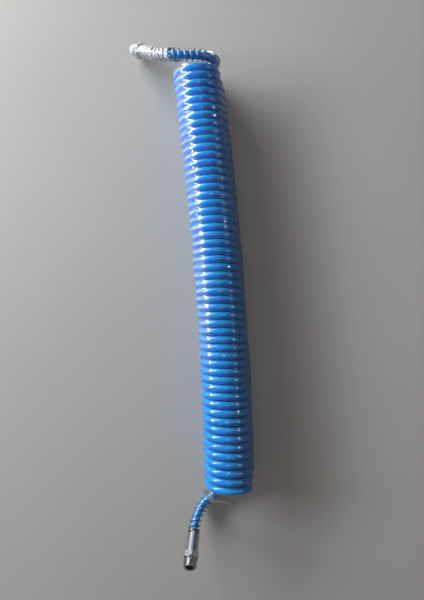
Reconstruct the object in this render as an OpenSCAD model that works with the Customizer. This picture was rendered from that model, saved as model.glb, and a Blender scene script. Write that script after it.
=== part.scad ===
// Coiled air hose: a polyurethane hose wound into a close coil, with a wire
// guard, a crimped ferrule and a swivelling threaded end at each of its ends,
// held in a clear film sleeve. Millimetres. +Z is up, +Y runs along the coil,
// and the origin is on the floor, at the middle of the coil's chord.

/* [Hose] */
// Outer diameter of the hose
hose_od = 8; // [7:0.5:9]
// Inner diameter of the hose, which the stems' barbs grip
hose_id = 5; // [4.5:0.25:5.5]

/* [Coil] */
// Outer diameter of the coil
coil_od = 50; // [44:1:56]
// Number of turns in the coil
coil_turns = 53; // [20:1:70]
// Gap between neighbouring turns
turn_gap = 0.27; // [0:0.01:0.5]
// Further gap between the last turn at each end and the rest of the coil
end_gap = 0.2; // [0.15:0.05:0.4]
// How far the coil's middle bows sideways
coil_bow = 6; // [2:0.5:12]

/* [Wire guards] */
// Diameter of the guard's wire
guard_wire = 1.25; // [0.8:0.05:1.5]
// Gap between the hose and the guard's wire
guard_gap = 1; // [0.7:0.1:1.5]
// Distance between the guard's open turns
guard_pitch = 5.6; // [4:0.2:8]
// Distance between the closed turns at each end of the guard
guard_end_pitch = 2.2; // [1.8:0.1:3]
// Length of the guard along the hose
guard_len = 81; // [50:1:82]

/* [Ferrules] */
// Outer diameter of the crimped ferrule
ferrule_od = 12.4; // [11.5:0.1:14]
// Length of the ferrule's smooth barrel
ferrule_len = 18.5; // [16:0.5:22]
// Length of the neck that carries the wire guard
neck_len = 5; // [4:0.25:5.5]
// Thickness of the lip that holds the stem's collar
lip_len = 3; // [2:0.5:4]
// Edge rounding at the ends of the barrel
ferrule_edge = 0.6; // [0.2:0.1:1]

/* [Hose stems] */
// Air passage through the stem
stem_bore = 3.2; // [2.5:0.1:3.4]
// Number of barbs that grip the hose
barb_count = 4; // [2:1:5]
// Height of one barb
barb_height = 0.35; // [0.2:0.05:0.5]
// Thickness of the collar behind the ferrule's lip
collar_len = 1.4; // [1:0.1:2]
// Diameter of the journal on which the end swivels
journal_od = 7.2; // [6.8:0.1:7.6]
// Length of the journal inside the swivelling end
journal_len = 9.4; // [9:0.1:10]

/* [Threaded ends] */
// Hexagon size across its flats
hex_af = 14; // [13:0.5:17]
// Length of the hexagon
hex_len = 6.2; // [5:0.2:8]
// Outer diameter of the male pipe thread
thread_od = 13.157; // [12.6:0.001:14]
// Length of the threaded end
thread_len = 8.8; // [8:0.2:12]
// Width of the relief between the hexagon and the thread
relief_len = 1.4; // [0.8:0.2:2]
// Depth of the relief
relief_depth = 0.9; // [0.4:0.1:1]
// Bevel at the mouth of the threaded end
mouth_bevel = 1; // [0.4:0.1:1.4]
// Bore at the mouth of the threaded end
mouth_bore = 8.6; // [8:0.1:9]

/* [Seals and rings] */
// Section of the O-ring on the journal
o_ring_section = 1; // [0.8:0.1:1.2]
// Distance of the O-ring from the hexagon's rear face
o_ring_place = 3; // [2:0.2:3.6]
// Wire diameter of the retaining ring
ring_wire = 1; // [0.8:0.1:1.2]
// Distance of the retaining ring from the hexagon's rear face
ring_place = 7; // [6.2:0.2:7.6]
// Opening of the retaining ring, in degrees
ring_opening = 30; // [10:5:60]

/* [Film] */
// Thickness of the clear film
film_wall = 0.2; // [0.1:0.05:0.4]
// Gap between the film and the coil
film_gap = 0.5; // [0.3:0.05:0.8]
// How far the sleeve reaches past the coil's ends
film_reach = 0.5; // [0:0.1:0.8]
// How far the cuff reaches back over the wire guard
cuff_reach = 26; // [14:1:28]
// Gap between the cuff and the hexagon's corners
cuff_gap = 0.4; // [0.3:0.1:1]

/* [Fits] */
// Radial running clearance of the swivel
swivel_fit = 0.04; // [0.02:0.01:0.08]
// Gap between the ferrule's face and the hexagon
face_gap = 0.3; // [0.3:0.05:0.6]
// Clearance where a piece is seated on another
seat_fit = 0.1; // [0.05:0.01:0.2]

/* [Hidden] */
ROUND_SIDES = 64;
$fn = ROUND_SIDES;

// The hose's route past its last turn at each end, as steps from the coil's
// end: [sideways, along, height].
TOP_ROUTE = [
    [10.5, 3.6, 7.4], [17.5, 5, 12.8], [21, 6.3, 21], [20.2, 7.2, 30.5],
    [15.5, 7.6, 39.2], [7.5, 7.8, 44.6], [-2.2, 8.2, 46.8], [-11, 9.1, 46.8],
    [-19.5, 10.7, 45.4], [-27.3, 13.2, 42.4], [-33.8, 16.4, 38]
];
BOTTOM_ROUTE = [
    [-0.5, -9.4, 6.5], [-9, -11.3, 6.5], [-17.3, -14, 6.5], [-24.8, -18.9, 6.5],
    [-30.6, -24.9, 7.1], [-35, -31.1, 9.2], [-38.1, -37.7, 12.8]
];
// Angle of each last turn from its crest, and how far it leaves the coil
TOP_SPAN = 208;
TOP_AWAY = 1.2;
BOTTOM_SPAN = 176;
BOTTOM_AWAY = 9.5;
LAST_TURN_POINTS = 6;
// Where the ferrule's shoulder lies, and which way the fitting points
TOP_SHOULDER = [-44.4, 24, 27.9];
TOP_TURN = 141;
TOP_TILT = -37;
BOTTOM_SHOULDER = [-40.8, -47.1, 24.4];
BOTTOM_TURN = 257;
BOTTOM_TILT = 56.5;

ROUTE_STEPS = 2; // rings for each step of the route
DENSE_STEPS = 8; // samples for each step, for the guard
HOSE_SIDES = 10;
CUFF_SIDES = 14;
WIRE_SIDES = 6;
WIRE_STEPS = 14; // rings in each turn of the guard
BOW_STEPS = 8; // flat lengths that each bent tube is drawn with
CHORD_FIT = 0.07; // how far the guard's flat-sided turns come inside its circle
NECK_LEAD = 3; // straight hose behind the neck
CUFF_SLOPE = 5; // length over which the cuff widens behind the ferrule's face
CUT = 1; // how far a cut runs past its face, and one solid runs into the next

hose_r = hose_od / 2;
turn_pitch = hose_od + turn_gap;
coil_len = (coil_turns - 1) * turn_pitch + hose_od;
half_coil = coil_len / 2;
inner_turns_len = coil_len - 2 * (turn_pitch + end_gap);
coil_r = coil_od / 2;
winding_r = coil_r - hose_r;
bow_r = half_coil * half_coil / (2 * coil_bow) + coil_bow / 2;
axis_height = coil_r + film_gap + film_wall;

guard_r = hose_r + guard_gap + guard_wire / 2;
guard_outer_r = guard_r + guard_wire / 2;
neck_r = guard_r - guard_wire / 2 - seat_fit - CHORD_FIT;
ferrule_bore_r = hose_r + seat_fit;

lip_start = ferrule_len - lip_len;
collar_end = lip_start - seat_fit;
collar_start = collar_end - collar_len;
hose_stop = collar_start - seat_fit;
journal_r = journal_od / 2;
swivel_r = journal_r + swivel_fit;
barb_start = -neck_len / 2;
barb_step = (hose_stop - barb_start) / barb_count;
barb_root_r = (hose_id - seat_fit) / 2;
barb_r = barb_root_r + barb_height;

hex_start = ferrule_len + face_gap;
hex_end = hex_start + hex_len;
mouth = hex_end + thread_len;
journal_end = hex_start + journal_len;
swivel_depth = journal_len + seat_fit;
hex_corner_r = hex_af / 2 / cos(30);
thread_r = thread_od / 2;

o_ring_at = hex_start + o_ring_place;
o_groove_r = swivel_r - o_ring_section - 2 * swivel_fit;
o_ring_r = o_groove_r + swivel_fit + o_ring_section / 2;
ring_at = hex_start + ring_place;
ring_r = journal_r + swivel_fit;

cuff_neck_r = (guard_outer_r + seat_fit * 3) / cos(180 / CUFF_SIDES);
cuff_r = (hex_corner_r + cuff_gap) / cos(180 / CUFF_SIDES);
cuff_end = mouth + face_gap;

// Directions and places

function unit(v) = v / norm(v);

function aim(turn, tilt) = [cos(tilt) * cos(turn), cos(tilt) * sin(turn), sin(tilt)];

// A shoulder's place, from its steps from the coil's end
function place(steps, side) = [steps.x, side * half_coil + steps.y, steps.z];

top_at = place(TOP_SHOULDER, 1);
top_aim = aim(TOP_TURN, TOP_TILT);
bottom_at = place(BOTTOM_SHOULDER, -1);
bottom_aim = aim(BOTTOM_TURN, BOTTOM_TILT);

// A point of a turn, at an angle round the coil's bent axis and a distance along it
function on_coil(angle, along) =
    let (bend = along / bow_r * 180 / PI, r = bow_r + winding_r * cos(angle))
    [coil_bow - bow_r + r * cos(bend), r * sin(bend), axis_height + winding_r * sin(angle)];

// The coil's last turn at one end, from its crest: a helix that leaves the
// other turns faster and faster
function last_turn(side, span, away) = [
    for (i = [0:LAST_TURN_POINTS - 1])
        let (t = i / LAST_TURN_POINTS, climb = turn_pitch * span / 360 * t + away * t * t)
        on_coil(90 + side * span * t, side * (half_coil - hose_r + climb))
];

// The hose's points from the coil to its end inside the ferrule. Its last
// stretch, from the neck inwards, is straight.
function hose_points(turn, route, side, shoulder, way) = concat(
    turn,
    [for (p = route) place(p, side)],
    [shoulder - (neck_len + NECK_LEAD) * way, shoulder, shoulder + hose_stop * way]
);

top_points = hose_points(
    last_turn(1, TOP_SPAN, TOP_AWAY), TOP_ROUTE, 1, top_at, top_aim
);
bottom_points = hose_points(
    last_turn(-1, BOTTOM_SPAN, BOTTOM_AWAY), BOTTOM_ROUTE, -1, bottom_at, bottom_aim
);

// A smooth curve through points: each step is a cubic whose slope at a point
// is half the step between that point's neighbours.
function cubic(a, b, c, d, t) =
    0.5 * (2 * b + (c - a) * t + (2 * a - 5 * b + 4 * c - d) * t * t
        + (3 * b - a - 3 * c + d) * t * t * t);

function smooth(points, steps) =
    let (n = len(points))
    concat(
        [for (i = [0:n - 2], k = [0:steps - 1])
            cubic(
                i == 0 ? 2 * points[0] - points[1] : points[i - 1],
                points[i],
                points[i + 1],
                i == n - 2 ? 2 * points[n - 1] - points[n - 2] : points[i + 2],
                k / steps
            )],
        [points[n - 1]]
    );

function tangents(path) =
    let (n = len(path))
    [for (i = [0:n - 1]) unit(path[min(i + 1, n - 1)] - path[max(i - 1, 0)])];

// One sideways direction for each point, carried along without twist
function carried(ways) = [
    for (
        i = 0, u = unit(cross(ways[0], [0.1, 0.2, 1]));
        i < len(ways);
        i = i + 1, u = i < len(ways) ? unit(u - (u * ways[i]) * ways[i]) : u
    ) u
];

// Distance of each point from the start of the path
function distances(path) = [
    for (
        i = 0, d = 0;
        i < len(path);
        i = i + 1, d = i < len(path) ? d + norm(path[i] - path[i - 1]) : d
    ) d
];

// The value of a list of vectors at a distance between its points
function at_distance(d, ds, values) = [
    for (axis = [0:2]) lookup(d, [for (i = [0:len(ds) - 1]) [ds[i], values[i][axis]]])
];

// Solids swept along paths

function ring_points(centre, u, v, r, sides) = [
    for (k = [0:sides - 1]) centre + r * (cos(360 * k / sides) * u + sin(360 * k / sides) * v)
];

function side_faces(rings, sides) = [
    for (i = [0:rings - 2], k = [0:sides - 1])
        let (a = i * sides + k, b = i * sides + (k + 1) % sides)
        each [[a, a + sides, b + sides], [a, b + sides, b]]
];

function inside_out(faces, shift) = [for (f = faces) [f.z + shift, f.y + shift, f.x + shift]];

// A solid rod with one ring of points at each point of the path
module swept_rod(path, r, sides) {
    ways = tangents(path);
    us = carried(ways);
    n = len(path);
    points = [
        for (i = [0:n - 1])
            each ring_points(path[i], us[i], cross(ways[i], us[i]), r, sides)
    ];
    start_cap = [for (k = [0:sides - 1]) k];
    end_cap = [for (k = [0:sides - 1]) n * sides - 1 - k];
    polyhedron(points, concat(side_faces(n, sides), [start_cap, end_cap]), convexity = 6);
}

// A thin tube: its wall's outer surface has a radius at each point of the path
module swept_wall(path, radii, wall, sides) {
    ways = tangents(path);
    us = carried(ways);
    n = len(path);
    outer = [
        for (i = [0:n - 1])
            each ring_points(path[i], us[i], cross(ways[i], us[i]), radii[i] + wall, sides)
    ];
    inner = [
        for (i = [0:n - 1])
            each ring_points(path[i], us[i], cross(ways[i], us[i]), radii[i], sides)
    ];
    shift = n * sides;
    inner_faces = inside_out(side_faces(n, sides), shift);
    rims = [
        for (k = [0:sides - 1]) let (next = (k + 1) % sides, last = (n - 1) * sides)
            each [
                [k, next, next + shift, k + shift],
                [last + next, last + k, last + k + shift, last + next + shift]
            ]
    ];
    polyhedron(concat(outer, inner), concat(side_faces(n, sides), inner_faces, rims), convexity = 6);
}

// Stands a fitting's own +Z axis along its direction, its origin on the shoulder
module on_fitting(shoulder, turn, tilt) {
    translate(shoulder) rotate([0, 90 - tilt, turn]) children();
}

module on_top() on_fitting(top_at, TOP_TURN, TOP_TILT) children();

module on_bottom() on_fitting(bottom_at, BOTTOM_TURN, BOTTOM_TILT) children();

// A ring-shaped profile bent along the coil's bow
module bent_tube(outer_r, inner_r, length) {
    half_turn = length / 2 / bow_r * 180 / PI;
    translate([coil_bow - bow_r, 0, axis_height])
        rotate([0, 0, -half_turn])
            rotate_extrude(angle = 2 * half_turn, $fn = BOW_STEPS * 180 / half_turn)
                translate([bow_r, 0])
                    difference() {
                        circle(r = outer_r, $fn = ROUND_SIDES);
                        circle(r = inner_r, $fn = ROUND_SIDES);
                    }
}

// The hose

module hose_coil() {
    color("royalblue") bent_tube(coil_r, coil_r - hose_od, inner_turns_len);
}

module hose_tail(points, shoulder, turn, tilt) {
    difference() {
        swept_rod(smooth(points, ROUTE_STEPS), hose_r, HOSE_SIDES);
        on_fitting(shoulder, turn, tilt)
            translate([0, 0, barb_start - seat_fit])
                cylinder(r = barb_r + seat_fit / 4, h = hose_stop - barb_start + CUT);
    }
}

module hose_tail_top() {
    color("dodgerblue") hose_tail(top_points, top_at, TOP_TURN, TOP_TILT);
}

module hose_tail_bottom() {
    color("dodgerblue") hose_tail(bottom_points, bottom_at, BOTTOM_TURN, BOTTOM_TILT);
}

// The wire guards: a helix around the hose's own curve, closed at both ends

// Distance along the guard that its wire has reached after some turns
function guard_travel(turn, turns) =
    let (last = turns - 1)
    turn <= 1 ? turn * guard_end_pitch
    : turn >= last ? guard_end_pitch + (last - 1) * guard_pitch + (turn - last) * guard_end_pitch
    : guard_end_pitch + (turn - 1) * guard_pitch;

module guard_spring(points) {
    path = smooth(points, DENSE_STEPS);
    ds = distances(path);
    ways = tangents(path);
    us = carried(ways);
    shoulder_d = ds[len(ds) - 1] - hose_stop;
    turns = 2 + floor((guard_len - 2 * guard_end_pitch) / guard_pitch * 2) / 2;
    rings = floor(turns * WIRE_STEPS);
    centres = [
        for (i = [0:rings])
            let (
                turn = i / WIRE_STEPS,
                d = shoulder_d - guard_wire / 2 - seat_fit - guard_travel(turn, turns),
                centre = at_distance(d, ds, path),
                way = unit(at_distance(d, ds, ways)),
                u = unit(at_distance(d, ds, us)),
                v = cross(way, u)
            )
            [centre, cos(360 * turn) * u + sin(360 * turn) * v]
    ];
    wire = [for (c = centres) c[0] + guard_r * c[1]];
    wire_ways = tangents(wire);
    wire_points = [
        for (i = [0:rings])
            each ring_points(
                wire[i], centres[i][1], cross(wire_ways[i], centres[i][1]), guard_wire / 2, WIRE_SIDES
            )
    ];
    start_cap = [for (k = [0:WIRE_SIDES - 1]) k];
    end_cap = [for (k = [0:WIRE_SIDES - 1]) (rings + 1) * WIRE_SIDES - 1 - k];
    polyhedron(
        wire_points,
        concat(side_faces(rings + 1, WIRE_SIDES), [start_cap, end_cap]),
        convexity = 10
    );
}

module guard_spring_top() {
    color("silver") guard_spring(top_points);
}

module guard_spring_bottom() {
    color("silver") guard_spring(bottom_points);
}

// The ferrule: a neck for the guard, a smooth barrel crimped over the hose,
// and a lip that closes in front of the stem's collar

module ferrule() {
    rotate_extrude() polygon([
        [ferrule_bore_r, -neck_len],
        [neck_r, -neck_len],
        [neck_r, 0],
        [ferrule_od / 2 - ferrule_edge, 0],
        [ferrule_od / 2, ferrule_edge],
        [ferrule_od / 2, ferrule_len - ferrule_edge],
        [ferrule_od / 2 - ferrule_edge, ferrule_len],
        [journal_r + seat_fit, ferrule_len],
        [journal_r + seat_fit, lip_start],
        [ferrule_bore_r, lip_start]
    ]);
}

module ferrule_top() {
    color("gainsboro") on_top() ferrule();
}

module ferrule_bottom() {
    color("gainsboro") on_bottom() ferrule();
}

// The stem: barbs inside the hose, a collar behind the lip, and a journal
// with a groove for the O-ring and one for the retaining ring

module hose_stem() {
    barbs = [
        for (i = [0:barb_count - 1])
            each [
                [barb_root_r, barb_start + i * barb_step],
                [barb_r, barb_start + (i + 0.7) * barb_step],
                [barb_root_r, barb_start + (i + 0.75) * barb_step]
            ]
    ];
    o_half = o_ring_section / 2 + swivel_fit;
    ring_half = ring_wire / 2 + swivel_fit;
    ring_groove_r = ring_r - ring_half;
    rotate_extrude() polygon(concat(
        [[stem_bore / 2, barb_start]],
        barbs,
        [
            [barb_root_r, collar_start],
            [hose_r, collar_start],
            [hose_r, collar_end],
            [journal_r, collar_end],
            [journal_r, o_ring_at - o_half],
            [o_groove_r, o_ring_at - o_half],
            [o_groove_r, o_ring_at + o_half],
            [journal_r, o_ring_at + o_half],
            [journal_r, ring_at - ring_half],
            [ring_groove_r, ring_at - ring_half],
            [ring_groove_r, ring_at + ring_half],
            [journal_r, ring_at + ring_half],
            [journal_r, journal_end],
            [stem_bore / 2, journal_end]
        ]
    ));
}

module hose_stem_top() {
    color("goldenrod") on_top() hose_stem();
}

module hose_stem_bottom() {
    color("goldenrod") on_bottom() hose_stem();
}

module o_ring() {
    translate([0, 0, o_ring_at])
        rotate_extrude() translate([o_ring_r, 0]) circle(d = o_ring_section);
}

module o_ring_top() {
    color("dimgray") on_top() o_ring();
}

module o_ring_bottom() {
    color("dimgray") on_bottom() o_ring();
}

module retaining_ring() {
    translate([0, 0, ring_at])
        rotate_extrude(angle = 360 - ring_opening) translate([ring_r, 0]) circle(d = ring_wire);
}

module retaining_ring_top() {
    color("slategray") on_top() retaining_ring();
}

module retaining_ring_bottom() {
    color("slategray") on_bottom() retaining_ring();
}

// The swivelling end: a bevelled hexagon and a male pipe thread, bored through

module hexagon() {
    bevel = (hex_corner_r - hex_af / 2) * tan(30);
    intersection() {
        translate([0, 0, hex_start]) cylinder(r = hex_corner_r, h = hex_len, $fn = 6);
        rotate_extrude() polygon([
            [0, hex_start],
            [hex_af / 2, hex_start],
            [hex_corner_r, hex_start + bevel],
            [hex_corner_r, hex_end - bevel],
            [hex_af / 2, hex_end],
            [0, hex_end]
        ]);
    }
}

module threaded_end() {
    rotate_extrude() polygon([
        [0, hex_end - CUT],
        [thread_r - relief_depth, hex_end - CUT],
        [thread_r - relief_depth, hex_end + relief_len],
        [thread_r, hex_end + relief_len + relief_depth],
        [thread_r, mouth - mouth_bevel],
        [thread_r - mouth_bevel, mouth],
        [0, mouth]
    ]);
}

module swivel_body() {
    groove_r = ring_r + ring_wire / 2 + swivel_fit;
    groove_half = ring_wire / 2 + swivel_fit;
    difference() {
        union() {
            hexagon();
            threaded_end();
        }
        translate([0, 0, hex_start - CUT]) cylinder(r = swivel_r, h = swivel_depth + CUT);
        translate([0, 0, hex_start + swivel_depth])
            cylinder(r = mouth_bore / 2, h = mouth - hex_start - swivel_depth + CUT);
        translate([0, 0, ring_at - groove_half]) cylinder(r = groove_r, h = 2 * groove_half);
    }
}

module swivel_body_top() {
    color("lightsteelblue") on_top() swivel_body();
}

module swivel_body_bottom() {
    color("lightsteelblue") on_bottom() swivel_body();
}

// The clear film: a tight sleeve over the coil, and a cuff gathered round the
// upper fitting

module film_sleeve() {
    color("lightcyan")
        bent_tube(coil_r + film_gap + film_wall, coil_r + film_gap, coil_len + 2 * film_reach);
}

module film_cuff() {
    whole = smooth(top_points, DENSE_STEPS);
    ds = distances(whole);
    shoulder_d = ds[len(ds) - 1] - hose_stop;
    behind = [
        for (back = [cuff_reach, cuff_reach * 3 / 4, cuff_reach / 2, cuff_reach / 4])
            at_distance(shoulder_d - back, ds, whole)
    ];
    ahead = [for (d = [0, ferrule_len - CUFF_SLOPE, hex_start, cuff_end]) top_at + d * top_aim];
    radii = [
        cuff_neck_r, cuff_neck_r, cuff_neck_r, cuff_neck_r, cuff_neck_r, cuff_neck_r,
        cuff_r, cuff_r
    ];
    color("azure") swept_wall(concat(behind, ahead), radii, film_wall, CUFF_SIDES);
}

hose_coil();
hose_tail_top();
hose_tail_bottom();
guard_spring_top();
guard_spring_bottom();
ferrule_top();
ferrule_bottom();
hose_stem_top();
hose_stem_bottom();
o_ring_top();
o_ring_bottom();
retaining_ring_top();
retaining_ring_bottom();
swivel_body_top();
swivel_body_bottom();
film_sleeve();
film_cuff();
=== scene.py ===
"""Looks of a coiled polyurethane air hose: the wound hose, its wire guards, plated
fittings and clear packing film, on a plain floor. Shapes are worked out in
millimetres, in the CAD's frame, and written to meshes in metres."""

import math

import bpy
import numpy as np
from mathutils import Matrix, Vector


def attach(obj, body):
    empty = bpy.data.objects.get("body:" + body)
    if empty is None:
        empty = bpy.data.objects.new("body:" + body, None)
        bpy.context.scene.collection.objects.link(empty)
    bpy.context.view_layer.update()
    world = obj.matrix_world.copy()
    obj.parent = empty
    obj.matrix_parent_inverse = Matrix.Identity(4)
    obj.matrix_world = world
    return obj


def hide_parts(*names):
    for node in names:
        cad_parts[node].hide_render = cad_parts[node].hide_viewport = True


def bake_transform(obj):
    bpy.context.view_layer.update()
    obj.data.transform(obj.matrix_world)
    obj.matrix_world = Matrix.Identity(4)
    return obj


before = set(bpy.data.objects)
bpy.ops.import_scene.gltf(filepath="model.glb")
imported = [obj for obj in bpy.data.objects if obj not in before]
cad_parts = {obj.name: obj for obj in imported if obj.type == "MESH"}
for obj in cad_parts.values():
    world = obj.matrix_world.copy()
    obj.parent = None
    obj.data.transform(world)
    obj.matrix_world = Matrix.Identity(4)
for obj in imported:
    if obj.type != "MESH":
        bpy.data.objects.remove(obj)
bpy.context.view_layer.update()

MM = 0.001

# ---------------------------------------------------------------- sizes, in mm

HOSE_R = 4.0
TURNS = 53
TURN_PITCH = 8.27
COIL_R = 25.0
WINDING_R = COIL_R - HOSE_R
COIL_BOW = 6.0  # how far the coil's middle is bent aside
FILM_GAP = 0.5
FILM_WALL = 0.2
AXIS_HEIGHT = COIL_R + FILM_GAP + FILM_WALL
HALF_COIL = ((TURNS - 1) * TURN_PITCH + 2 * HOSE_R) / 2
BOW_R = HALF_COIL**2 / (2 * COIL_BOW) + COIL_BOW / 2  # radius of its axis
LAST_CREST = HALF_COIL - HOSE_R  # place of each end turn's crest along the coil

GUARD_WIRE = 1.25
GUARD_R = HOSE_R + 1.0 + GUARD_WIRE / 2
GUARD_PITCH = 5.6
GUARD_END_PITCH = 2.2
GUARD_LEN = 81.0

FERRULE_R = 6.2
FERRULE_LEN = 18.5
NECK_LEN = 5.0
NECK_LEAD = 3.0  # straight hose behind the neck
NECK_R = GUARD_R - GUARD_WIRE / 2 - 0.17
LIP_LEN = 3.0
COLLAR_LEN = 1.4
SEAT_FIT = 0.1
HOSE_STOP = FERRULE_LEN - LIP_LEN - SEAT_FIT - COLLAR_LEN - SEAT_FIT
JOURNAL_R = 3.6
SWIVEL_R = JOURNAL_R + 0.04
HEX_AF = 14.0
HEX_START = FERRULE_LEN + 0.3
HEX_END = HEX_START + 6.2
SWIVEL_END = HEX_START + 9.5
THREAD_R = 13.157 / 2
THREAD_DEPTH = 0.856
THREAD_PITCH = 25.4 / 19
RELIEF_DEPTH = 0.9
RELIEF_END = HEX_END + 1.4
MOUTH = HEX_END + 8.8
MOUTH_BEVEL = 1.0
MOUTH_BORE_R = 4.3

# The hose's route past its last turn at each end, as steps from the coil's end:
# sideways, along, height
TOP_ROUTE = [
    (10.5, 3.6, 7.4), (17.5, 5, 12.8), (21, 6.3, 21), (20.2, 7.2, 30.5),
    (15.5, 7.6, 39.2), (7.5, 7.8, 44.6), (-2.2, 8.2, 46.8), (-11, 9.1, 46.8),
    (-19.5, 10.7, 45.4), (-27.3, 13.2, 42.4), (-33.8, 16.4, 38),
]
BOTTOM_ROUTE = [
    (-0.5, -9.4, 6.5), (-9, -11.3, 6.5), (-17.3, -14, 6.5), (-24.8, -18.9, 6.5),
    (-30.6, -24.9, 7.1), (-35, -31.1, 9.2), (-38.1, -37.7, 12.8),
]
# Each ferrule's shoulder, in the same steps, and the way that its fitting points
TOP_SHOULDER = (-44.4, 24, 27.9)
TOP_TURN, TOP_TILT = 141, -37
BOTTOM_SHOULDER = (-40.8, -47.1, 24.4)
BOTTOM_TURN, BOTTOM_TILT = 257, 56.5

# The last turn at each end: degrees that it runs on past the crest, and how far
# it has left its neighbour by then
TOP_SPAN, TOP_AWAY = 208, 1.2
BOTTOM_SPAN, BOTTOM_AWAY = 176, 9.5
LAST_TURN_POINTS = 6

# ------------------------------------------------------------------ the camera

# The camera hangs half a metre over the floor and looks straight down
CAMERA_PLACE = (-2.7, -26.9, 500.0)
CAMERA_LEAN = 4.48  # degrees between the picture's upright and the coil's chord
CAMERA_AHEAD = 5.5  # mm on the floor from under the camera to the picture's middle
LENS = 27.0


def make_camera():
    """A downward camera: its up direction is the coil's +Y turned by CAMERA_LEAN."""
    lean = math.radians(CAMERA_LEAN)
    up = Vector((math.sin(lean), math.cos(lean), 0))
    place = Vector(CAMERA_PLACE)
    target = Vector((place.x, place.y, 0)) + up * CAMERA_AHEAD
    back = (place - target).normalized()
    right = up.cross(back).normalized()
    data = bpy.data.cameras.new("camera")
    data.lens = LENS
    data.sensor_width = 36.0
    data.clip_start = 0.01
    camera = bpy.data.objects.new("camera", data)
    axes = Matrix((right, back.cross(right), back)).transposed()
    camera.matrix_world = Matrix.Translation(place * MM) @ axes.to_4x4()
    bpy.context.scene.collection.objects.link(camera)
    bpy.context.scene.camera = camera


make_camera()

# ------------------------------------------------------------ curves and frames


def unit(v):
    """Each row of v, divided by its length."""
    return v / np.linalg.norm(v, axis=-1, keepdims=True)


def aim(turn, tilt):
    """Direction at an angle round +Z from +X, and at an angle above the floor."""
    a, e = math.radians(turn), math.radians(tilt)
    return np.array([math.cos(e) * math.cos(a), math.cos(e) * math.sin(a), math.sin(e)])


def shoulder(steps, side):
    """Place of a ferrule's shoulder, from its steps from the coil's end."""
    return np.array([steps[0], side * HALF_COIL + steps[1], steps[2]], float)


def on_coil(angle, along, radius=WINDING_R):
    """Point at an angle (degrees, from sideways towards up) and radius round the
    coil's bent axis, a distance along that axis: the axis is an arc of radius
    BOW_R in the level plane."""
    bend = along / BOW_R
    a = np.radians(angle)
    r = BOW_R + radius * np.cos(a)
    x = COIL_BOW - BOW_R + r * np.cos(bend)
    return np.stack([x, r * np.sin(bend), AXIS_HEIGHT + radius * np.sin(a)], -1)


def smooth_curve(points, steps):
    """A curve through the points: each step is a cubic whose slope at a point is
    half the step between that point's neighbours."""
    p = np.vstack([2 * points[0] - points[1], points, 2 * points[-1] - points[-2]])
    a, b, c, d = (p[i : len(p) - 3 + i, None] for i in range(4))
    t = (np.arange(steps) / steps)[None, :, None]
    curve = 0.5 * (
        2 * b + (c - a) * t + (2 * a - 5 * b + 4 * c - d) * t**2
        + (3 * b - a - 3 * c + d) * t**3
    )
    return np.vstack([curve.reshape(-1, 3), points[-1]])


def travelled(path):
    """Distance of each point of a path from its start."""
    return np.concatenate([[0], np.cumsum(np.linalg.norm(np.diff(path, axis=0), axis=1))])


def frames(path):
    """Direction of the path at each point, and two directions across it: the
    first is the coil's +Y, made square to the path."""
    way = unit(np.gradient(path, axis=0))
    y = np.array([0.0, 1.0, 0.0])
    across = unit(y - (way @ y)[:, None] * way)
    return way, across, np.cross(way, across)


def at(distance, ds, values):
    """Rows of values, read at distances between the distances ds."""
    return np.stack([np.interp(distance, ds, values[:, k]) for k in range(3)], -1)


# --------------------------------------------------------------- mesh building


def grid_faces(rows, cols, close_cols=True, close_rows=False):
    """Quads of a grid of rows x cols points, counted row by row."""
    i = np.arange(rows if close_rows else rows - 1)[:, None]
    j = np.arange(cols if close_cols else cols - 1)[None, :]
    i2, j2 = (i + 1) % rows, (j + 1) % cols
    quads = np.stack([i * cols + j, i * cols + j2, i2 * cols + j2, i2 * cols + j], -1)
    return quads.reshape(-1, 4)


def make_piece(name, points, quads, material, caps=(), sharp=None):
    """A mesh object from points in mm, quads and many-sided end caps."""
    mesh = bpy.data.meshes.new(name)
    corners = np.concatenate([quads.ravel(), *[np.asarray(c) for c in caps]]).astype(np.int32)
    sizes = np.concatenate([np.full(len(quads), 4), [len(c) for c in caps]]).astype(np.int32)
    starts = np.concatenate([[0], np.cumsum(sizes)[:-1]]).astype(np.int32)
    mesh.vertices.add(len(points))
    mesh.vertices.foreach_set("co", (points * MM).astype(np.float32).ravel())
    mesh.loops.add(len(corners))
    mesh.loops.foreach_set("vertex_index", corners)
    mesh.polygons.add(len(sizes))
    mesh.polygons.foreach_set("loop_start", starts)
    mesh.polygons.foreach_set("use_smooth", np.ones(len(sizes), bool))
    mesh.update(calc_edges=True)
    mesh.validate()
    if sharp is not None:
        mesh.set_sharp_from_angle(angle=math.radians(sharp))
    mesh.materials.append(material)
    piece = bpy.data.objects.new(name, mesh)
    bpy.context.scene.collection.objects.link(piece)
    return piece


def swept(path, radius, sides):
    """Points of a round tube: at each path point a ring of that radius in the
    plane of the path's two across directions."""
    _, across, over = frames(path)
    a = np.arange(sides) * 2 * math.pi / sides
    spoke = np.cos(a)[None, :, None] * across[:, None] + np.sin(a)[None, :, None] * over[:, None]
    radius = np.broadcast_to(np.asarray(radius, float), (len(path),))
    return path[:, None] + radius[:, None, None] * spoke


def end_caps(rows, cols):
    """Caps of a swept tube: its first ring turned round, and its last ring."""
    ring = np.arange(cols)
    return [ring[::-1], (rows - 1) * cols + ring]


def add_tube_uv(piece, rows, cols, ds, around):
    """UV map in metres: U goes round the tube, V along it."""
    layer = piece.data.uv_layers.new(name="along")
    loops = np.empty(len(piece.data.loops), np.int32)
    piece.data.loops.foreach_get("vertex_index", loops)
    u = (loops % cols) / cols * around * MM
    v = ds[loops // cols] * MM
    layer.data.foreach_set("uv", np.stack([u, v], -1).astype(np.float32).ravel())


# ------------------------------------------------------------------- materials


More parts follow.
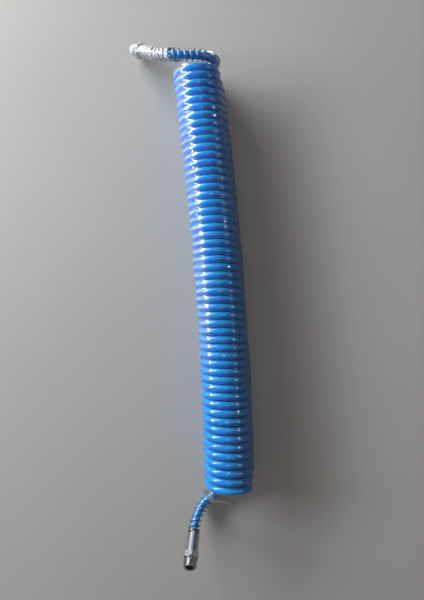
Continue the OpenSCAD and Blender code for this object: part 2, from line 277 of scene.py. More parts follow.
# Scales of the patterns below are counts in a metre: a scale of 500 repeats every
# 2 mm. Bump heights are in millimetres.
HOSE_CLOUDS = 22.0  # clouds of 45 mm
HOSE_WAVES = 450.0  # waves of 2.2 mm
RUBBER_GRAIN = 3000.0  # grain of 0.3 mm
FLOOR_MOTTLE = 6.0  # patches of 170 mm


def colour(code):
    """An sRGB hex colour as the linear colour that Blender's sockets take."""
    s = np.array([int(code[i : i + 2], 16) for i in (1, 3, 5)]) / 255
    linear = np.where(s <= 0.04045, s / 12.92, ((s + 0.055) / 1.055) ** 2.4)
    return (*[float(c) for c in linear], 1.0)


def add(tree, kind, inputs=None, **settings):
    """Adds a node: settings are its own, inputs are values or sockets to link."""
    node = tree.nodes.new(kind)
    for key, value in settings.items():
        setattr(node, key, value)
    for key, value in (inputs or {}).items():
        if isinstance(value, bpy.types.NodeSocket):
            tree.links.new(value, node.inputs[key])
        else:
            node.inputs[key].default_value = value
    return node


def new_material(name):
    """An empty material, its node tree and its output node."""
    material = bpy.data.materials.new(name)
    material.use_nodes = True
    tree = material.node_tree
    tree.nodes.clear()
    return material, tree, tree.nodes.new("ShaderNodeOutputMaterial")


def hose_polyurethane():
    """Extruded ether polyurethane, tinted blue: glossy, and cloudy inside, so
    light that enters on one side glows through to the next, more cyan near the
    light and deeper blue further in. The extruder leaves faint waves."""
    material, tree, out = new_material("polyurethane_hose_extruded_gloss")
    place = add(tree, "ShaderNodeTexCoord").outputs["Object"]
    tint = add(
        tree, "ShaderNodeTexNoise", {"Vector": place, "Scale": HOSE_CLOUDS, "Detail": 2.0}
    )
    ramp = add(tree, "ShaderNodeValToRGB", {"Fac": tint.outputs["Fac"]})
    ramp.color_ramp.elements[0].position = 0.35
    ramp.color_ramp.elements[0].color = colour("#148FCF")
    ramp.color_ramp.elements[1].position = 0.65
    ramp.color_ramp.elements[1].color = colour("#1C9CDB")
    waves = add(
        tree, "ShaderNodeTexNoise", {"Vector": place, "Scale": HOSE_WAVES, "Detail": 1.0}
    )
    bump = add(
        tree, "ShaderNodeBump",
        {"Height": waves.outputs["Fac"], "Strength": 0.05, "Distance": 0.4 * MM},
    )
    shader = add(
        tree, "ShaderNodeBsdfPrincipled",
        {
            "Base Color": ramp.outputs["Color"],
            "Subsurface Weight": 0.8,
            "Subsurface Radius": (0.06, 0.09, 2.2),
            "Subsurface Scale": 0.006,
            "Roughness": 0.2,
            "IOR": 1.5,
            "Coat Weight": 0.5,
            "Coat Roughness": 0.04,
            "Normal": bump.outputs["Normal"],
        },
    )
    tree.links.new(shader.outputs["BSDF"], out.inputs["Surface"])
    return material


def metal(name, base, dark, roughness, grain_scale, bump_mm):
    """Bare or plated metal: a base colour that a fine noise takes to a darker
    one, and a shallow bump of the same grain."""
    material, tree, out = new_material(name)
    place = add(tree, "ShaderNodeTexCoord").outputs["Object"]
    grain = add(
        tree, "ShaderNodeTexNoise", {"Vector": place, "Scale": grain_scale, "Detail": 3.0}
    )
    ramp = add(tree, "ShaderNodeValToRGB", {"Fac": grain.outputs["Fac"]})
    ramp.color_ramp.elements[0].position = 0.3
    ramp.color_ramp.elements[0].color = colour(dark)
    ramp.color_ramp.elements[1].position = 0.6
    ramp.color_ramp.elements[1].color = colour(base)
    bump = add(
        tree, "ShaderNodeBump",
        {"Height": grain.outputs["Fac"], "Strength": 0.3, "Distance": bump_mm * MM},
    )
    shader = add(
        tree, "ShaderNodeBsdfPrincipled",
        {
            "Base Color": ramp.outputs["Color"],
            "Metallic": 1.0,
            "Roughness": roughness,
            "Normal": bump.outputs["Normal"],
        },
    )
    tree.links.new(shader.outputs["BSDF"], out.inputs["Surface"])
    return material


def rubber():
    """Moulded nitrile rubber: near black, dull, with a fine grain."""
    material, tree, out = new_material("nitrile_rubber_moulded")
    place = add(tree, "ShaderNodeTexCoord").outputs["Object"]
    grain = add(tree, "ShaderNodeTexNoise", {"Vector": place, "Scale": RUBBER_GRAIN})
    bump = add(
        tree, "ShaderNodeBump",
        {"Height": grain.outputs["Fac"], "Strength": 0.2, "Distance": 0.05 * MM},
    )
    shader = add(
        tree, "ShaderNodeBsdfPrincipled",
        {"Base Color": colour("#1B1B1C"), "Roughness": 0.6, "Normal": bump.outputs["Normal"]},
    )
    tree.links.new(shader.outputs["BSDF"], out.inputs["Surface"])
    return material


def clear_film(name, haze, shine, veil, crease_scale, crease):
    """Clear packing film: see-through, with a gloss that grows at grazing angles,
    partly mirror-sharp and partly veiled, a little white haze, and creases that
    break up its reflections. Where its attribute "crumple" is high, many small
    creases scatter light, which reads as white; on the sleeve part of that white
    is a painted highlight. So thin a film casts next to no shadow. The creases'
    counts for each metre run sideways, along and up."""
    material, tree, out = new_material(name)
    place = add(tree, "ShaderNodeTexCoord").outputs["Object"]
    crumpled = add(tree, "ShaderNodeAttribute", attribute_name="crumple").outputs["Fac"]
    creased = add(
        tree, "ShaderNodeMath", {0: crumpled, 1: 1.6, 2: crease}, operation="MULTIPLY_ADD"
    )
    stretched = add(tree, "ShaderNodeMapping", {"Vector": place, "Scale": crease_scale})
    creases = add(
        tree, "ShaderNodeTexNoise",
        {"Vector": stretched.outputs["Vector"], "Scale": 1.0, "Detail": 2.0, "Distortion": 0.3},
    )
    bump = add(
        tree, "ShaderNodeBump",
        {
            "Height": creases.outputs["Fac"], "Strength": creased.outputs["Value"],
            "Distance": 0.6 * MM,
        },
    ).outputs["Normal"]
    sharp = add(
        tree, "ShaderNodeBsdfGlossy",
        {"Color": colour("#FFFFFF"), "Roughness": 0.045, "Normal": bump},
    )
    soft = add(
        tree, "ShaderNodeBsdfGlossy",
        {"Color": colour("#FFFFFF"), "Roughness": 0.45, "Normal": bump},
    )
    gloss = add(
        tree, "ShaderNodeMixShader",
        {0: veil, 1: sharp.outputs["BSDF"], 2: soft.outputs["BSDF"]},
    )
    white = add(tree, "ShaderNodeBsdfDiffuse", {"Color": colour("#F2F6FA"), "Normal": bump})
    through = add(tree, "ShaderNodeBsdfTransparent", {"Color": colour("#FAFDFF")})
    cloudy = add(
        tree, "ShaderNodeMath", {0: crumpled, 1: 1 - haze, 2: haze}, operation="MULTIPLY_ADD"
    )
    hazy = add(
        tree, "ShaderNodeMixShader",
        {0: cloudy.outputs["Value"], 1: through.outputs["BSDF"], 2: white.outputs["BSDF"]},
    )
    facing = add(tree, "ShaderNodeFresnel", {"IOR": 1.5, "Normal": bump})
    share = add(
        tree, "ShaderNodeMath",
        {0: facing.outputs["Fac"], 1: shine}, operation="MULTIPLY", use_clamp=True,
    )
    shadow = add(tree, "ShaderNodeLightPath").outputs["Is Shadow Ray"]
    lit = add(tree, "ShaderNodeMath", {0: 1.0, 1: shadow}, operation="SUBTRACT")
    share = add(
        tree, "ShaderNodeMath",
        {0: share.outputs["Value"], 1: lit.outputs["Value"]}, operation="MULTIPLY",
    )
    shader = add(
        tree, "ShaderNodeMixShader",
        {0: share.outputs["Value"], 1: hazy.outputs["Shader"], 2: gloss.outputs["Shader"]},
    )
    tree.links.new(shader.outputs["Shader"], out.inputs["Surface"])
    return material


HOSE_BLUE = hose_polyurethane()
# Metals: colour, its darker grain, roughness, grain scale and grain height
SPRING_WIRE = metal("spring_steel_drawn_bright", "#A9ADB0", "#8A8E92", 0.13, 900, 0.01)
FERRULE_PLATE = metal("steel_ferrule_nickel_plated", "#B4B9BC", "#9A9FA3", 0.33, 260, 0.02)
THREAD_PLATE = metal("brass_nickel_plated_turned", "#BDC2C4", "#A5ABAE", 0.24, 400, 0.015)
STEM_BRASS = metal("brass_turned", "#C9A868", "#A8854A", 0.3, 500, 0.01)
RING_STEEL = metal("spring_steel_oiled", "#8E9194", "#6E7174", 0.35, 700, 0.01)
SEAL_RUBBER = rubber()
# Films: haze, shine, veil, crease scales and crease strength
SLEEVE_FILM = clear_film("polyolefin_film_tight_clear", 0.005, 0.9, 0.25, (600, 300, 600), 0.08)
CUFF_FILM = clear_film("polyolefin_film_crumpled_clear", 0.12, 2.6, 0.2, (420, 420, 420), 0.4)

# -------------------------------------------------------------------- the hose

TOP_AT = shoulder(TOP_SHOULDER, 1)
TOP_AIM = aim(TOP_TURN, TOP_TILT)
BOTTOM_AT = shoulder(BOTTOM_SHOULDER, -1)
BOTTOM_AIM = aim(BOTTOM_TURN, BOTTOM_TILT)

TURN_POINTS = 12  # route points in each turn of the coil
CURVE_STEPS = 4  # rings between two route points
LOOSE_FROM = 39  # turns from the top after which they lie looser and looser
LOOSE_OVER = 5  # turns over which the pitch grows
LOOSER = 0.5  # mm that it has grown by then
HOSE_SIDES = 18
STRETCH_EASE = 1.5  # turns at each end over which the pull's share sets in


def turn_place(turns):
    """Distance along the coil after some turns from its top crest: an even pitch,
    then one that grows in step with the turns, then an even, looser one."""

    def grown(turn):
        """Length that the looser turns have added up to some turn."""
        past = turn - LOOSE_FROM
        ramp = np.clip(past, 0, LOOSE_OVER) ** 2 / (2 * LOOSE_OVER)
        return LOOSER * (ramp + np.clip(past - LOOSE_OVER, 0, None))

    pitch = (2 * LAST_CREST - grown(TURNS - 1)) / (TURNS - 1)
    return LAST_CREST - pitch * turns - grown(turns)


def last_turn(side, span, away):
    """The coil's last turn at one end, past its crest: a helix that leaves the
    other turns faster and faster."""
    t = np.arange(1, LAST_TURN_POINTS) / LAST_TURN_POINTS
    climb = TURN_PITCH * span / 360 * t + away * t**2
    return on_coil(90 + side * span * t, side * (LAST_CREST + climb))


def tail_points(turn, route, side, at_shoulder, way):
    """Points from past the coil's last crest to the hose's end in its ferrule."""
    steps = np.array(route, float) + (0, side * HALF_COIL, 0)
    lead = at_shoulder - (NECK_LEN + NECK_LEAD) * way
    ends = [lead, at_shoulder, at_shoulder + HOSE_STOP * way]
    return np.vstack([turn, steps, ends])


def hose_route():
    """The whole hose, from its end in the upper ferrule to its end in the lower
    one, and for each point how many turns lie between it and the top crest."""
    top = tail_points(
        last_turn(1, TOP_SPAN, TOP_AWAY), TOP_ROUTE, 1, TOP_AT, TOP_AIM
    )[::-1]
    turns = np.arange((TURNS - 1) * TURN_POINTS + 1) / TURN_POINTS
    wound = on_coil(90 - 360 * turns, turn_place(turns))
    bottom = tail_points(
        last_turn(-1, BOTTOM_SPAN, BOTTOM_AWAY), BOTTOM_ROUTE, -1, BOTTOM_AT, BOTTOM_AIM
    )
    path = smooth_curve(np.vstack([top, wound, bottom]), CURVE_STEPS)
    count = (np.arange(len(path)) / CURVE_STEPS - len(top)) / TURN_POINTS
    return path, count


hose_path, turn_count = hose_route()
hose_distance = travelled(hose_path)


def make_hose():
    """The hose as one tube. It also works out, for each ring, a share of a pull on
    the far end: none at the top crest, all at the bottom crest, even between, with
    the share's slope eased in and out at the two ends. Nothing uses that share."""
    rings = swept(hose_path, HOSE_R, HOSE_SIDES)
    rows = len(hose_path)
    hose = make_piece(
        "hose", rings.reshape(-1, 3), grid_faces(rows, HOSE_SIDES), HOSE_BLUE,
        end_caps(rows, HOSE_SIDES),
    )
    add_tube_uv(hose, rows, HOSE_SIDES, hose_distance, 2 * math.pi * HOSE_R)
    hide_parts("hose_coil", "hose_tail_top", "hose_tail_bottom")
    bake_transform(hose)
    before = np.clip(turn_count / STRETCH_EASE, 0, 1)
    slope = before * np.clip((TURNS - 1 - turn_count) / STRETCH_EASE, 0, 1)
    share = np.cumsum(slope)
    share = np.repeat(share / share[-1], HOSE_SIDES).astype(np.float32)
    return hose


hose = make_hose()

# ------------------------------------------------------------- the wire guards


GUARD_STEPS = 36  # rings of the wire in each turn
GUARD_SIDES = 10
LEAN_OVER = 14.0  # mm of hose past the neck over which a loose guard leans over


def guard_travel(turn, turns):
    """Distance along the hose that the wire has reached after some turns: one
    close turn, then open ones, then a close one."""
    last = turns - 1
    first = np.minimum(turn, 1) * GUARD_END_PITCH
    middle = np.clip(turn - 1, 0, last - 1) * GUARD_PITCH
    return first + middle + np.clip(turn - last, 0, None) * GUARD_END_PITCH


def make_guard(name, node, from_end, body, lean=0.0):
    """A helix of wire round the hose's own curve: the wire's centre is at radius
    GUARD_R in the curve's across plane, turned once for each turn. Past the neck
    that grips it, a loose guard leans sideways on the hose by some mm."""
    path = hose_path if from_end else hose_path[::-1]
    ds = travelled(path)
    _, across, over = frames(path)
    turns = 2 + math.floor((GUARD_LEN - 2 * GUARD_END_PITCH) / GUARD_PITCH * 2) / 2
    turn = np.arange(int(turns * GUARD_STEPS) + 1) / GUARD_STEPS
    d = HOSE_STOP + GUARD_WIRE / 2 + SEAT_FIT + guard_travel(turn, turns)
    centre = at(d, ds, path)
    centre[:, 0] += lean * np.clip((d - HOSE_STOP - NECK_LEN) / LEAN_OVER, 0, 1)
    u, v = unit(at(d, ds, across)), unit(at(d, ds, over))
    a = (2 * math.pi * turn)[:, None]
    outward = np.cos(a) * u + np.sin(a) * v
    wire = centre + GUARD_R * outward
    wire_way = unit(np.gradient(wire, axis=0))
    outward = unit(outward - np.sum(outward * wire_way, -1, keepdims=True) * wire_way)
    aside = np.cross(wire_way, outward)
    b = (np.arange(GUARD_SIDES) * 2 * math.pi / GUARD_SIDES)[None, :, None]
    ring = np.cos(b) * outward[:, None] + np.sin(b) * aside[:, None]
    points = wire[:, None] + GUARD_WIRE / 2 * ring
    rows = len(wire)
    guard = make_piece(
        name, points.reshape(-1, 3), grid_faces(rows, GUARD_SIDES), SPRING_WIRE,
        end_caps(rows, GUARD_SIDES),
    )
    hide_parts(node)
    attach(guard, body)
    return guard


make_guard("guard_top", "guard_spring_top", True, "root")
guard_bottom = make_guard("guard_bottom", "guard_spring_bottom", False, "far_end", 0.8)

# ---------------------------------------------------------------- the fittings


def on_fitting(points, at_shoulder, turn, tilt):
    """Stands points whose +Z is the fitting's axis at its shoulder, along its aim."""
    a, e = math.radians(turn), math.radians(tilt)
    side = np.array([-math.sin(a), math.cos(a), 0])
    way = aim(turn, tilt)
    down = np.cross(side, way)
    return at_shoulder + points[..., :1] * down + points[..., 1:2] * side + points[..., 2:] * way


def rounded(profile, radius, steps=5):
    """A profile whose corners are cut back by the radius and joined by a curve
    that leaves along one edge and arrives along the next."""
    p = np.array(profile, float)
    before, corner, after = p[:-2], p[1:-1], p[2:]
    back, on = before - corner, after - corner
    lb = np.linalg.norm(back, axis=1, keepdims=True)
    lo = np.linalg.norm(on, axis=1, keepdims=True)
    a = corner + back / lb * np.minimum(radius, 0.45 * lb)
    c = corner + on / lo * np.minimum(radius, 0.45 * lo)
    t = np.linspace(0, 1, steps)[None, :, None]
    curve = (1 - t) ** 2 * a[:, None] + 2 * t * (1 - t) * corner[:, None] + t**2 * c[:, None]
    return np.vstack([p[:1], curve.reshape(-1, 2), p[-1:]])


def turned(profile, cols):
    """A profile of (radius, height) pairs, turned round the height axis."""
    a = np.arange(cols) * 2 * math.pi / cols
    r, z = profile[:, :1], profile[:, 1:]
    return np.stack([r * np.cos(a), r * np.sin(a), np.broadcast_to(z, (len(r), cols))], -1)


FERRULE_SIDES = 72
BARREL_ROWS = 24
BARREL_EDGE = 0.7  # length of the rounded edge at each end of the barrel, mm
CRIMP_SHRINK = 0.1  # how far the crimped middle of the barrel is drawn in, mm
NECK_ROUND, LIP_ROUND, BARREL_ROUND = 0.25, 0.5, 0.6  # radii of its edges, mm


def make_ferrule(name, node, place, body):
    """A ferrule turned from a closed profile: neck, rounded barrel drawn in a
    little at its crimped middle, lip and bore."""
    bore = HOSE_R + SEAT_FIT
    lip = FERRULE_LEN - LIP_LEN
    lip_bore = JOURNAL_R + SEAT_FIT
    z = np.linspace(BARREL_EDGE, FERRULE_LEN - BARREL_EDGE, BARREL_ROWS)
    drawn_in = np.sin(math.pi * z / FERRULE_LEN) ** 2
    barrel = np.stack([FERRULE_R - CRIMP_SHRINK * drawn_in, z], -1)
    rear = rounded(
        [(bore, -NECK_LEN), (NECK_R, -NECK_LEN), (NECK_R, 0), (FERRULE_R, 0)], NECK_ROUND
    )
    front = rounded(
        [(FERRULE_R, FERRULE_LEN - 0.6), (FERRULE_R, FERRULE_LEN),
         (lip_bore, FERRULE_LEN), (lip_bore, lip), (bore, lip)], LIP_ROUND,
    )
    edge = rounded(
        [(FERRULE_R - 0.9, 0), (FERRULE_R, 0), (FERRULE_R, BARREL_EDGE)], BARREL_ROUND
    )
    profile = np.vstack([rear[:-1], edge, barrel, front])
    rows = len(profile)
    points = on_fitting(turned(profile, FERRULE_SIDES), *place)
    ferrule = make_piece(
        name, points.reshape(-1, 3), grid_faces(rows, FERRULE_SIDES, close_rows=True),
        FERRULE_PLATE, sharp=40,
    )
    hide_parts(node)
    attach(ferrule, body)
    return ferrule


END_SIDES = 144
THREAD_ROWS = 110
HEX_CONE = math.radians(30)  # slope of the bevels that cut the hexagon's corners
FADE_IN, FADE_OUT = 0.9, 0.7  # mm over which the thread rises and dies away
THREAD_FLAT = 0.15  # how far the thread's wave overshoots its flat crests and roots
REAR_BEVEL, BORE_BEVEL = 0.3, 0.5  # bevels of its bore at the hexagon and the mouth


def make_threaded_end(name, node, place, body):
    """The swivelling end: a hexagon whose corners are bevelled by a cone, a relief,
    a 19-to-the-inch pipe thread cut as a helical wave, a bevelled mouth and a
    stepped bore. Radius is a function of angle and height along a closed profile."""
    a = np.arange(END_SIDES) * 2 * math.pi / END_SIDES
    hexagon = HEX_AF / 2 / np.cos(a % (math.pi / 3) - math.pi / 6)
    corner = HEX_AF / 2 / math.cos(math.pi / 6)
    bevel = (corner - HEX_AF / 2) * math.tan(HEX_CONE)

    def hex_rows(z):
        """Hexagon, no wider than the cones at its two faces."""
        near = np.minimum(z - HEX_START, HEX_END - z)
        cone = HEX_AF / 2 + near / math.tan(HEX_CONE)
        return np.minimum(hexagon[None], cone[:, None])

    def thread_rows(z):
        """Thread crest less a triangle wave with flat crests and roots that runs
        once round in one pitch, fading out at the relief and the mouth."""
        phase = (z[:, None] / THREAD_PITCH - a[None] / (2 * math.pi)) % 1
        wave = np.clip(np.abs(2 * phase - 1) * (1 + 2 * THREAD_FLAT) - THREAD_FLAT, 0, 1)
        fade = np.clip((z - RELIEF_END) / FADE_IN, 0, 1)
        fade = fade * np.clip((MOUTH - 0.3 - z) / FADE_OUT, 0, 1)
        crest = THREAD_R - np.clip(z - (MOUTH - MOUTH_BEVEL), 0, None)
        return crest[:, None] - THREAD_DEPTH * wave * fade[:, None]

    def round_rows(profile):
        """Rows of one radius each."""
        p = np.array(profile, float)
        return np.broadcast_to(p[:, :1], (len(p), END_SIDES)), p[:, 1]

    hex_z = np.concatenate([
        HEX_START + np.linspace(0, bevel, 6), HEX_END - np.linspace(bevel, 0, 6)
    ])
    thread_z = np.linspace(RELIEF_END + 0.2, MOUTH, THREAD_ROWS)
    relief_r = THREAD_R - RELIEF_DEPTH
    parts = [
        round_rows([
            (SWIVEL_R, SWIVEL_END), (SWIVEL_R, HEX_START + REAR_BEVEL),
            (SWIVEL_R + REAR_BEVEL, HEX_START),
        ]),
        (hex_rows(hex_z), hex_z),
        round_rows([(relief_r, HEX_END), (relief_r, RELIEF_END)]),
        (thread_rows(thread_z), thread_z),
        round_rows([
            (MOUTH_BORE_R + BORE_BEVEL, MOUTH), (MOUTH_BORE_R, MOUTH - BORE_BEVEL),
            (MOUTH_BORE_R, SWIVEL_END),
        ]),
    ]
    r = np.vstack([p[0] for p in parts])
    z = np.concatenate([p[1] for p in parts])
    grid = np.stack([r * np.cos(a), r * np.sin(a), np.broadcast_to(z[:, None], r.shape)], -1)
    points = on_fitting(grid, *place)
    end = make_piece(
        name, points.reshape(-1, 3), grid_faces(len(z), END_SIDES, close_rows=True),
        THREAD_PLATE, sharp=28,
    )
    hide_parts(node)
    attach(end, body)
    return end


TOP_PLACE = (TOP_AT, TOP_TURN, TOP_TILT)
BOTTOM_PLACE = (BOTTOM_AT, BOTTOM_TURN, BOTTOM_TILT)
make_ferrule("ferrule_barrel_top", "ferrule_top", TOP_PLACE, "root")
ferrule_bottom = make_ferrule("ferrule_barrel_bottom", "ferrule_bottom", BOTTOM_PLACE, "far_end")
end_top = make_threaded_end("threaded_end_top", "swivel_body_top", TOP_PLACE, "swivel_top")
end_bottom = make_threaded_end(
    "threaded_end_bottom", "swivel_body_bottom", BOTTOM_PLACE, "swivel_bottom"
)

# The pieces inside the fittings keep their CAD shapes
INNER_FINISHES = {"hose_stem": STEM_BRASS, "o_ring": SEAL_RUBBER, "retaining_ring": RING_STEEL}
for side in ("top", "bottom"):
    for part, material in INNER_FINISHES.items():
        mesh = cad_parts[f"{part}_{side}"].data
        mesh.materials.clear()
        mesh.materials.append(material)

# -------------------------------------------------------------------- the film

SLEEVE_SIDES = 128
SLEEVE_ROWS_PER_TURN = 13
SLEEVE_PAST = 5.0  # how far the film reaches past the last crest at each end, mm
SLEEVE_LIFT = 0.3  # how far it lies off the turns' crests, mm
SLEEVE_UNDER = 0.4  # the same underneath, where the coil presses it smooth
SLEEVE_SLACK = 0.12  # how much it varies elsewhere, mm
SLEEVE_CROWDING = 0.5  # how much closer its columns lie on the crumpled side
SLEEVE_DIP = 0.8  # how deep the film sinks between two turns, mm
FOLD_HEIGHT = 2.6  # of the pressed fold along the coil's right, mm
FOLD_BAND = (-2, 11)  # its middle and half width round the coil, in degrees
FOLD_RUN_OUT = 14.0  # mm over which the fold runs out at each end
CRUMPLE_BAND = (143, 25)  # middle and half width, in degrees, of its crumpled side
CRUMPLE_FROM = (120, 16)  # angle at which its creases start, and degrees of their rise
CRUMPLE_TO = (-70.0, 18.0)  # where along the coil it fades out, and over what length, mm
CRUMPLE_LIFT, CRUMPLE_DEPTH = 0.2, 0.16  # its lift, and the height of its creases, mm
CRUMPLE_AND_GLINT_SHARE = (0.13, 0.32)  # its share of fine creases and painted highlight, and what the painted glint on a turn's back adds
TURN_GLINT_HALF_WIDTH = 2.6  # half width of the painted glint on the back of each turn, mm


def turns_before(along):
    """Turns of the coil between its top crest and a distance along it."""
    turns = np.linspace(-1.5, TURNS + 0.5, 2000)
    return np.interp(-along, -turn_place(turns), turns)


def folds(angle, along, scale, seed):
    """A soft, uneven height from -1 to 1: a sum of eight waves across the film,
    with fixed directions, lengths and phases."""
    rng = np.random.default_rng(seed)
    total = 0
    for wave in range(8):
        round_count = rng.integers(1, 9)
        length = scale * rng.uniform(0.6, 2.2)
        phase = rng.uniform(0, 2 * math.pi)
        total = total + np.sin(round_count * angle + 2 * math.pi * along / length + phase)
    return total / 5


def zigzags(a, along, lengths, twist, seed, waves=12):
    """A crumpled height from about -1 to 1 on a tube: a sum of zig-zag waves in
    fixed, scattered directions, each as high as it is long, which leaves sharp
    creases. Round the tube each wave has a whole number of turns, up to twist."""
    rng = np.random.default_rng(seed)
    total, weight = 0, 0
    for wave in range(waves):
        length = rng.uniform(*lengths)
        turns = rng.integers(-twist, twist + 1)
        bent = along + 0.3 * length * np.sin(rng.integers(1, 4) * a + rng.uniform(0, 6))
        phase = turns * a / (2 * math.pi) + bent / length + rng.uniform(0, 1)
        total = total + (4 * np.abs(phase % 1 - 0.5) - 1) * length
        weight = weight + length**2
    return total / math.sqrt(weight)


def add_crumple(piece, share):
    """Gives each point of a film its share of fine creases, from 0 to 1."""
    cloud = piece.data.attributes.new("crumple", "FLOAT", "POINT")
    cloud.data.foreach_set("value", np.ascontiguousarray(share, np.float32).ravel())


def make_sleeve():
    """The film sleeve: a tube round the coil's bent axis that lies on the hose at
    each turn, bridges the groove between two turns, and stands off in a soft
    pressed fold at the coil's right. Radius is COIL_R plus a gap, less the dip,
    plus the fold. The dip follows the hose's round back near its crest and
    levels off at SLEEVE_DIP, which leaves a crease at each groove. Slack and fold
    fade out towards the underside, as the sine's fourth power. The columns
    lie closer together on the crumpled side, where small creases roughen it.
    That side faces the window, and its white is partly crumple and partly a
    painted highlight. A painted glint whitens the back of each turn there, more
    on one half than the other."""
    rows = (TURNS + 1) * SLEEVE_ROWS_PER_TURN
    along = np.linspace(LAST_CREST + SLEEVE_PAST, -LAST_CREST - SLEEVE_PAST, rows)[:, None]
    even = (np.arange(SLEEVE_SIDES) * 2 * math.pi / SLEEVE_SIDES)[None]
    a = even - SLEEVE_CROWDING * np.sin(even - math.radians(CRUMPLE_BAND[0]))
    angle = np.degrees(a) % 360
    phase = turns_before(along) - (90 - angle) / 360
    aside = np.abs((phase + 0.5) % 1 - 0.5) * TURN_PITCH
    round_dip = HOSE_R - np.sqrt(HOSE_R**2 - np.minimum(aside, 0.97 * HOSE_R) ** 2)
    dip = SLEEVE_DIP * (1 - np.exp(-round_dip / SLEEVE_DIP))
    slack = SLEEVE_SLACK * folds(a, along, scale=60, seed=3)
    from_fold = (angle - FOLD_BAND[0] + 180) % 360 - 180
    fold = FOLD_HEIGHT * np.exp(-((from_fold / FOLD_BAND[1]) ** 2))
    fold = fold * np.clip((LAST_CREST - 3 - np.abs(along)) / FOLD_RUN_OUT, 0, 1)
    fold = fold * (1 + 0.3 * folds(a, along, scale=90, seed=5))
    radius = COIL_R + SLEEVE_LIFT + slack + fold - dip
    low = np.clip(-np.sin(a), 0, 1) ** 4
    radius = radius * (1 - low) + (COIL_R + SLEEVE_UNDER - dip) * low
    band = np.exp(-(((angle - CRUMPLE_BAND[0]) / CRUMPLE_BAND[1]) ** 6))
    band = band / (1 + np.exp((CRUMPLE_TO[0] - along) / CRUMPLE_TO[1]))
    rise = np.clip((angle - CRUMPLE_FROM[0]) / CRUMPLE_FROM[1], 0, 1)
    rough = zigzags(a, along, lengths=(2.0, 7.0), twist=24, seed=21, waves=16)
    radius = radius + band * rise * (CRUMPLE_LIFT + CRUMPLE_DEPTH * rough)
    # Painted highlight: each turn's back on the crumpled side is whitened like a glint of the
    # window, more on one half than the other
    back = np.clip(1 - np.abs(aside + 0.6) / TURN_GLINT_HALF_WIDTH, 0, 1)
    back = back * np.where((phase + 0.5) % 1 < 0.5, 1, 0.7)
    patchy = np.clip(0.9 + 0.6 * folds(a, along, scale=9, seed=8), 0, 1.4)
    # White share: real crumple, plus a painted highlight where the crumpled band faces the window
    crumple = band * (CRUMPLE_AND_GLINT_SHARE[0] + CRUMPLE_AND_GLINT_SHARE[1] * back) * patchy
    points = on_coil(
        np.broadcast_to(angle, radius.shape), np.broadcast_to(along, radius.shape), radius
    )
    sleeve = make_piece(
        "film_over_coil", points.reshape(-1, 3), grid_faces(rows, SLEEVE_SIDES), SLEEVE_FILM
    )
    add_crumple(sleeve, crumple)
    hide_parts("film_sleeve")
    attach(sleeve, "root")


make_sleeve()

CUFF_SIDES = 120
CUFF_ROWS = 220
CUFF_REACH = 26.0  # how far its whole tube reaches back over the wire guard, mm
CUFF_TORN = 11.0  # how much further its longest torn tongue reaches, mm
TONGUE_AT = 2.0  # angle round the hose of that tongue, radians
CUFF_END = MOUTH + 0.8
CUFF_CLOSED_R = 4.4  # radius to which its end is gathered
CUFF_SINK = 0.42  # half of how deep it sinks between the guard's turns, mm
CUFF_LOWEST = 0.05  # its lowest height, mm
# Places along the hose's end, from the ferrule's shoulder, and the cuff's radius
# there. Then its looseness and the share of its fine creases, which scatter light.
CUFF_SIZES = [
    (-CUFF_REACH - CUFF_TORN, 6.7), (-CUFF_REACH, 6.5), (2, 6.5), (FERRULE_LEN - 3, 6.6),
    (HEX_START, 8.3), (HEX_END, 8.3), (HEX_END + 2.5, 7.1), (MOUTH - 1.5, 6.9),
    (MOUTH + 0.2, 6.3), (CUFF_END, CUFF_CLOSED_R),
]
CUFF_LOOSE = [(-CUFF_REACH, 0.24), (4, 0.26), (CUFF_END, 0.3)]
CUFF_BUNCHED = [(-CUFF_REACH, 0.24), (-8, 0.26), (6, 0.15), (CUFF_END, 0.24)]


